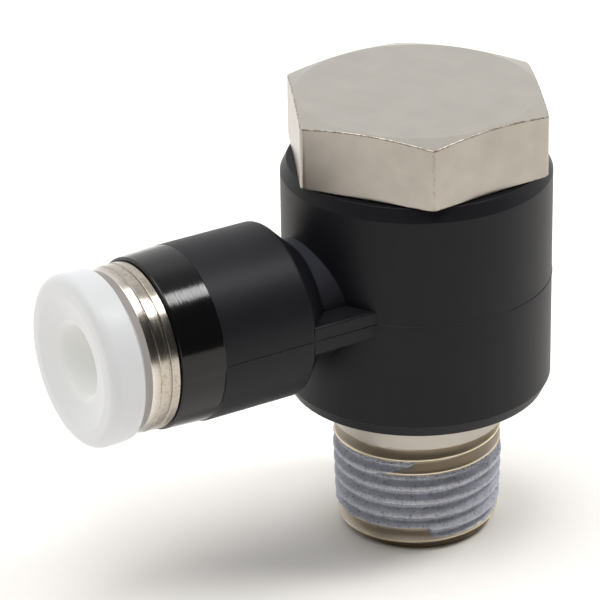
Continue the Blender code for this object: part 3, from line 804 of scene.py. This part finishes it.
low_edge = BODY_BOTTOM + BODY_EDGE_UP
high_edge = BODY_TOP - BODY_EDGE_UP
ring_outline = [
    (0.0, BODY_BOTTOM),
    (BODY_RADIUS - BODY_EDGE_OUT, BODY_BOTTOM, FOOT_ROUND),
    (BODY_RADIUS, low_edge, EDGE_ROUND),
    (BODY_RADIUS, ARM_AXIS - SEAM),
    (BODY_RADIUS + SEAM, ARM_AXIS),
    (BODY_RADIUS, ARM_AXIS + SEAM),
    (BODY_RADIUS, high_edge, EDGE_ROUND),
    (BODY_RADIUS - BODY_EDGE_OUT, BODY_TOP, FOOT_ROUND),
    (0.0, BODY_TOP),
]
body = mesh_object("body", lathe(rounded(ring_outline), BODY_STEPS))
print(f"ring: {2 * BODY_RADIUS:.1f} wide, {BODY_TOP - BODY_BOTTOM:.1f} high")

# %% Turn the arm and its neck
NECK_START = 5.85
NECK_RADIUS = 3.6
NECK_ROUND = 0.35
ARM_RADIUS = 5.1
SHOULDER = 9.95
SHOULDER_ROUND = 0.3
MOUTH_RADIUS = 4.97
MOUTH_ROUND = 0.1
BAND_START = ARM_MOUTH - 2.64
BAND_DROP = 0.02
BAND_STEP = 0.05
BAND_EASE = 0.1
BAND_SKIN = 0.3
SEAM_LEAD = 1


def along_arm(shape):
    """Lay a piece turned about Z along the arm, its heights becoming stations."""
    turn = Matrix.Rotation(-math.pi / 2, 3, "Y")
    bmesh.ops.rotate(shape, cent=(0, 0, 0), matrix=turn, verts=shape.verts)
    bmesh.ops.translate(shape, vec=(0, 0, ARM_AXIS), verts=shape.verts)
    return shape


arm_outline = [
    (0.0, NECK_START),
    (NECK_RADIUS, NECK_START),
    (NECK_RADIUS, SHOULDER - (ARM_RADIUS - NECK_RADIUS), NECK_ROUND),
    (ARM_RADIUS, SHOULDER, SHOULDER_ROUND),
    (ARM_RADIUS, BAND_START),
    (ARM_RADIUS - BAND_DROP, BAND_START + BAND_DROP),
    (MOUTH_RADIUS, ARM_MOUTH, MOUTH_ROUND),
    (0.0, ARM_MOUTH),
]
arm_shape = along_arm(lathe(rounded(arm_outline), BODY_STEPS))
column = 2 * math.pi / BODY_STEPS
for point in arm_shape.verts:
    station, across, up = -point.co.x, point.co.y, point.co.z - ARM_AXIS
    radius = math.hypot(across, up)
    tilt = math.asin(up / radius) if radius > 1 else 1.0
    on_band = station > BAND_START + NEARLY
    if station > SHOULDER - SEAM_LEAD and not on_band and abs(tilt) < 1.5 * column:
        radius -= SEAM if abs(tilt) < column / 2 else 0.0
        tilt *= SEAM / radius / column
        side = math.copysign(1.0, across)
        point.co.yz = (side * radius * math.cos(tilt), ARM_AXIS + radius * math.sin(tilt))
    elif on_band and radius > MOUTH_RADIUS - BAND_SKIN:
        share = 1 - BAND_STEP / radius * smooth_step(0.0, BAND_EASE, -tilt)
        point.co.yz = (across * share, ARM_AXIS + up * share)
carve(body, mesh_object("arm", arm_shape), "UNION")
print(f"arm: {2 * ARM_RADIUS:.1f} wide, polished from station {BAND_START:.2f}")

# %% Extrude the fin
FIN_UP = 0.82
FIN_DOWN = 0.9
FIN_ROUND = 0.12
FIN_UNDER_ROUND = 0.25
FIN_SHY = 0.02

fin_reach = ARM_RADIUS - FIN_SHY
half_section = [
    (fin_reach, -FIN_DOWN, FIN_UNDER_ROUND),
    (fin_reach, -SEAM),
    (fin_reach - SEAM, 0.0),
    (fin_reach, SEAM),
    (fin_reach, FIN_UP, FIN_ROUND),
]
section = rounded(half_section + [(-across, *rest) for across, *rest in reversed(half_section)])
fin_shape = bmesh.new()
corners = [fin_shape.verts.new((-SHOULDER, across, ARM_AXIS + up)) for across, up in section]
end_face = fin_shape.faces.new(corners)
grown = bmesh.ops.extrude_face_region(fin_shape, geom=[end_face], use_keep_orig=True)["geom"]
pushed = [item for item in grown if isinstance(item, bmesh.types.BMVert)]
bmesh.ops.translate(fin_shape, vec=(SHOULDER - NECK_START, 0, 0), verts=pushed)
carve(body, mesh_object("fin", fin_shape), "UNION")
print(f"fin: {FIN_UP + FIN_DOWN:.2f} thick")

# %% Cut the bores
BODY_BORE = 5.1
RECESS_RADIUS = 5.55
RECESS_DEPTH = 1.1
CUT_PAST = 1
# Each bore of the socket: its radius and the station where it starts.
SOCKET_BORES = ((1.5, 0.0), (2.12, 6.9), (3.27, 11.2), (4.23, 13.6))

recess_top = BODY_BOTTOM + RECESS_DEPTH
bore_outline = [
    (0.0, BODY_BOTTOM - CUT_PAST),
    (RECESS_RADIUS, BODY_BOTTOM - CUT_PAST),
    (RECESS_RADIUS, recess_top),
    (BODY_BORE, recess_top),
    (BODY_BORE, BODY_TOP + CUT_PAST),
    (0.0, BODY_TOP + CUT_PAST),
]
carve(body, mesh_object("bore", lathe(bore_outline, BODY_STEPS)), "DIFFERENCE")
socket_end = ARM_MOUTH + CUT_PAST
bore_ends = [start for _, start in SOCKET_BORES[1:]] + [socket_end]
socket_outline = [(0.0, 0.0)]
for (radius, start), finish_at in zip(SOCKET_BORES, bore_ends):
    socket_outline += [(radius, start), (radius, finish_at)]
socket_outline.append((0.0, socket_end))
carve(body, mesh_object("socket", along_arm(lathe(socket_outline, BODY_STEPS))), "DIFFERENCE")
body.data.shade_smooth()
body.data.set_sharp_from_angle(angle=math.radians(30))

# %% [markdown]
# ## Black plastic
# Most of the mould was eroded by spark, which gives a fine, dull skin. The top of the neck
# is painted a little greyer and bluer, as painted light. The band at the mouth comes from a
# polished part of the mould, so it gets its own material, chosen face by face by where the
# face lies.

# %% Moulded black finishes
NECK_LIGHT_TINT = (0.034, 0.035, 0.044)


def about_arm(finish, where):
    """Station along the arm, height over its axis and distance from it, as fields."""
    x, across, up = finish.split(where)
    up = up - ARM_AXIS
    return -x, up, (across * across + up * up).math("SQRT")


def moulding():
    """Black moulded plastic with the fine texture of an eroded mould."""
    finish = material("black_moulding")
    where = finish.place()
    skin = finish.grain(where, 11.0, 3.0, 0.6)
    cloud = finish.grain(where, 0.5, 2.0, 0.5)
    station, up, off_axis = about_arm(finish, where)
    past_ring = finish.step(station, BODY_RADIUS - 1.5, BODY_RADIUS - 1.2)
    beyond_neck = finish.step(off_axis, NECK_RADIUS + 0.02, NECK_RADIUS + 0.08)
    # painted light: the top of the neck lighter and bluer
    neck = past_ring * (1 - beyond_neck) * finish.step(up, 0.4, 3.0)
    tone = finish.mix(cloud, (0.007, 0.007, 0.009), (0.010, 0.010, 0.013))
    return finish.coat(
        Base_Color=finish.mix(neck, tone, NECK_LIGHT_TINT),
        Specular_IOR_Level=0.2,
        Roughness=0.46 + (skin - 0.5) * 0.12,
        Normal=finish.bump(skin, 0.25, 0.02),
    )


def polished_moulding():
    """The same plastic where the mould was polished, with fine marks round the arm."""
    finish = material("black_polished")
    marks = finish.grain(finish.place((1.0, 0.12, 0.12)), 9.0, 2.0, 0.6)
    specks = finish.grain(finish.place(), 8.0, 3.0, 0.7)
    return finish.coat(
        Base_Color=finish.mix(specks, (0.002, 0.002, 0.002), (0.006, 0.006, 0.006)),
        Specular_IOR_Level=0.36,
        Roughness=0.12 + (marks - 0.5) * 0.14,
        Normal=finish.bump(marks * 0.8 + specks * 0.2, 0.35, 0.02),
    )


# %% Dress the body
dress(body, moulding(), "swivel", "black_moulding", "swivel_body")
body.data.materials.append(polished_moulding())
for face in body.data.polygons:
    middle = face.center / MM
    off_axis = math.hypot(middle.y, middle.z - ARM_AXIS)
    if -middle.x > BAND_START and off_axis > MOUTH_RADIUS - BAND_SKIN:
        face.material_index = 1

# %% [markdown]
# ## The guide
# The guide is the bright sleeve pressed into the arm. Its flange shows between the arm
# and the button: two lands with a fine groove between them and a small chamfer in front.
# It is turned, so it keeps fine streaks round its edge and a few dull spots. Its front
# face is painted lighter, as painted light.

# %% Model the guide
LATHE_STEPS = 160
GUIDE_OUTER = 4.15
REAR_HOLE = 3.5
REAR_DEPTH = 1.25
LEDGE_HOLE = 2.93
FRONT_HOLE = 3.78
HUB_ROOM = 0.58
FLANGE_START = ARM_MOUTH + 0.05
LAND_GROOVE = ARM_MOUTH + 0.63
GROOVE_SIDE = 0.09
GROOVE_FLOOR = 0.03
GROOVE_DEPTH = 0.1
FRONT_LAND = FLANGE_RADIUS - 0.02
NOTCH = GUIDE_FRONT - 0.49
NOTCH_SIDE = 0.04
NOTCH_FLOOR = FLANGE_RADIUS - 0.06
CHAMFER_BACK = FLANGE_RADIUS - 0.04
CHAMFER_FRONT = FLANGE_RADIUS - 0.15
FLANGE_ROUND = 0.05
GROOVE_ROUND = 0.03
NOTCH_ROUND = 0.02
FRONT_SKIN = 0.1

guide_outline = [
    (REAR_HOLE, GUIDE_END),
    (GUIDE_OUTER, GUIDE_END),
    (GUIDE_OUTER, FLANGE_START),
    (FLANGE_RADIUS, FLANGE_START, FLANGE_ROUND),
    (FLANGE_RADIUS, LAND_GROOVE - GROOVE_SIDE, GROOVE_ROUND),
    (FLANGE_RADIUS - GROOVE_DEPTH, LAND_GROOVE - GROOVE_FLOOR),
    (FLANGE_RADIUS - GROOVE_DEPTH, LAND_GROOVE + GROOVE_FLOOR),
    (FRONT_LAND, LAND_GROOVE + GROOVE_SIDE, GROOVE_ROUND),
    (FRONT_LAND, NOTCH - NOTCH_SIDE, NOTCH_ROUND),
    (NOTCH_FLOOR, NOTCH),
    (CHAMFER_BACK, NOTCH + NOTCH_SIDE, NOTCH_ROUND),
    (CHAMFER_FRONT, GUIDE_FRONT, FLANGE_ROUND),
    (FRONT_HOLE, GUIDE_FRONT, FLANGE_ROUND),
    (FRONT_HOLE, HUB_END - HUB_ROOM),
    (LEDGE_HOLE, HUB_END - HUB_ROOM),
    (LEDGE_HOLE, GUIDE_END + REAR_DEPTH),
    (REAR_HOLE, GUIDE_END + REAR_DEPTH),
]
guide_shape = along_arm(lathe(rounded(guide_outline), LATHE_STEPS))
front_light_mark = guide_shape.verts.layers.float.new("front")
# the front face is marked for painted light
for point in guide_shape.verts:
    point[front_light_mark] = float(-point.co.x > GUIDE_FRONT - FRONT_SKIN)
guide = mesh_object("guide_sleeve", guide_shape)
guide_nickel = nickel("guide_nickel", (1.5, 0.12, 0.12), 0.22, 0.12)
dress(guide, guide_nickel, "swivel", "nickel", "guide")

# %% [markdown]
# ## The release button
# The button is milky acetal, and light goes a short way into it. Scattering under the
# skin would be the true way, but a small even glow, a little stronger and warmer in the
# bore, gives much the same look and can be baked. The rim is well rounded, the face falls
# a little towards the bore, and the bore's edge is rounded where the tube goes in.

# %% Model the button
BUTTON_GAP = 0.58
BUTTON_BACK = GUIDE_FRONT + BUTTON_GAP
BUTTON_DRAFT = 0.05
BACK_ROUND = 0.1
RIM_WIDTH = 1.2
RIM_ROUND = 0.6
FACE_RADIUS = 3.85
FACE_ROUND = 0.15
FACE_FALL = 0.42
TUBE_BORE = 2.12
BORE_ROUND = 0.35
HUB_RADIUS = 3.58
SEAT_RADIUS = 2.88
SEAT_DEPTH = 1.85

button_outline = [
    (TUBE_BORE, HUB_END + SEAT_DEPTH),
    (SEAT_RADIUS, HUB_END + SEAT_DEPTH),
    (SEAT_RADIUS, HUB_END),
    (HUB_RADIUS, HUB_END, BACK_ROUND),
    (HUB_RADIUS, BUTTON_BACK),
    (BUTTON_RADIUS - BUTTON_DRAFT, BUTTON_BACK, BACK_ROUND),
    (BUTTON_RADIUS, BUTTON_FRONT - RIM_WIDTH),
    (BUTTON_RADIUS, BUTTON_FRONT, RIM_ROUND),
    (FACE_RADIUS, BUTTON_FRONT, FACE_ROUND),
    (TUBE_BORE, BUTTON_FRONT - FACE_FALL, BORE_ROUND),
]
button = mesh_object("button", along_arm(lathe(rounded(button_outline, 8), LATHE_STEPS)))


# %% Acetal finish
def acetal(name):
    """Milky white acetal with a small glow, a little stronger and warmer in the bore."""
    finish = material(name)
    where = finish.place()
    cloud = finish.grain(where, 0.8, 3.0, 0.6)
    off_axis = about_arm(finish, where)[2]
    in_bore = 1 - finish.step(off_axis, TUBE_BORE, TUBE_BORE + 0.4)
    return finish.coat(
        Base_Color=finish.mix(cloud, (0.37, 0.375, 0.38), (0.40, 0.405, 0.41)),
        Specular_IOR_Level=0.3,
        Roughness=0.38 + (cloud - 0.5) * 0.1,
        Emission_Color=finish.mix(in_bore, (0.79, 0.79, 0.79), (1.0, 0.99, 0.93)),
        Emission_Strength=0.36,
    )


dress(button, acetal("acetal"), "release", "acetal", "release_button")

# %% [markdown]
# ## Pieces inside
# The collet, the gripping ring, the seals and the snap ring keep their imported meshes,
# because only glimpses of them show through the bores. They still get their own finish.


# %% Finish the inner pieces
def plain(name, colour, metallic, roughness):
    """Finish with a fine grain for a piece that is nearly hidden."""
    finish = material(name)
    fine = finish.grain(finish.place(), 6.0, 3.0, 0.6)
    return finish.coat(
        Base_Color=finish.mix(fine, *shades(colour, 0.85, 1.0)),
        Metallic=metallic,
        Roughness=roughness + (fine - 0.5) * 0.1,
    )


STEEL = (0.55, 0.55, 0.56)
RUBBER = (0.02, 0.02, 0.02)
inner = {
    acetal("collet_acetal"): ["collet"],
    plain("spring_steel", STEEL, 1.0, 0.3): ["chuck", "snap_ring"],
    plain("seal_rubber", RUBBER, 0.0, 0.6): ["tube_seal", "lower_o_ring", "upper_o_ring"],
}
for finish, names in inner.items():
    for name in names:
        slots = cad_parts[name].data.materials
        slots.clear()
        slots.append(finish)
    print(f"{finish.name}: {', '.join(names)}")

# %% [markdown]
# ## Table and light
# The table is white and runs out of the picture on all sides. A wide lamp hangs overhead,
# tilted to the left, a small and much brighter one stands high on the right, and a pale
# wall is behind. The camera's side is left dark: the dark side is what draws the black
# band across the polished metal and the arm. Lamp objects would do, but here all of the
# light is the world's colour by direction, which is smooth and shows no lamp.

# %% Table
TABLE_SIZE = 1.6

table_shape = bmesh.new()
bmesh.ops.create_grid(table_shape, x_segments=4, y_segments=4, size=TABLE_SIZE / 2 / MM)
table = mesh_object("table", table_shape)
white = material("table_white")
white.coat(Base_Color=(0.96, 0.93, 0.89), Roughness=0.9)
table.data.materials.append(white.owner)
print(f"table: {TABLE_SIZE} m wide")

# %% Light
BEHIND = Vector((-CAMERA_BACK.x, -CAMERA_BACK.y, 0.0)).normalized()
WALL_LIGHT = 0.97
WALL_EDGE = (-0.25, 0.25)
WALL_TOP = (0.78, 0.95)
WALL_FALL = 0.6
DARK_SIDE = 0.03
LAMPS = (
    {"elevation": 75, "azimuth": 178, "outer": 27, "inner": 21, "light": 4.05},
    {"elevation": 60, "azimuth": -29, "outer": 10, "inner": 6, "light": 17.5},
)

world = bpy.data.worlds.new("studio")
bpy.context.scene.world = world
sky = Finish(world)
direction = sky.node("ShaderNodeTexCoord", {}, output="Generated")


def facing(towards):
    """How far the sky's direction points a given way, from -1 to 1."""
    settings = {"operation": "DOT_PRODUCT"}
    return sky.node("ShaderNodeVectorMath", settings, direction, towards, output="Value")


upward = sky.split(direction)[2]
wall = sky.step(facing(BEHIND), *WALL_EDGE) * (1 - WALL_FALL * sky.step(upward, *WALL_TOP))
strength = wall * WALL_LIGHT + DARK_SIDE
for lamp in LAMPS:
    steep = math.radians(lamp["elevation"])
    round_z = math.radians(lamp["azimuth"])
    level = math.cos(steep)
    towards = (level * math.cos(round_z), level * math.sin(round_z), math.sin(steep))
    edges = [math.cos(math.radians(lamp[edge])) for edge in ("outer", "inner")]
    strength += sky.step(facing(towards), *edges) * lamp["light"]
background = sky.tree.nodes["Background"]
background.inputs["Color"].default_value = (1.0, 1.0, 1.0, 1.0)
sky.tree.links.new(strength.socket, background.inputs["Strength"])

bpy.context.scene.view_settings.view_transform = "Standard"
print(f"light: {len(LAMPS)} lamps and a wall of strength {WALL_LIGHT}")
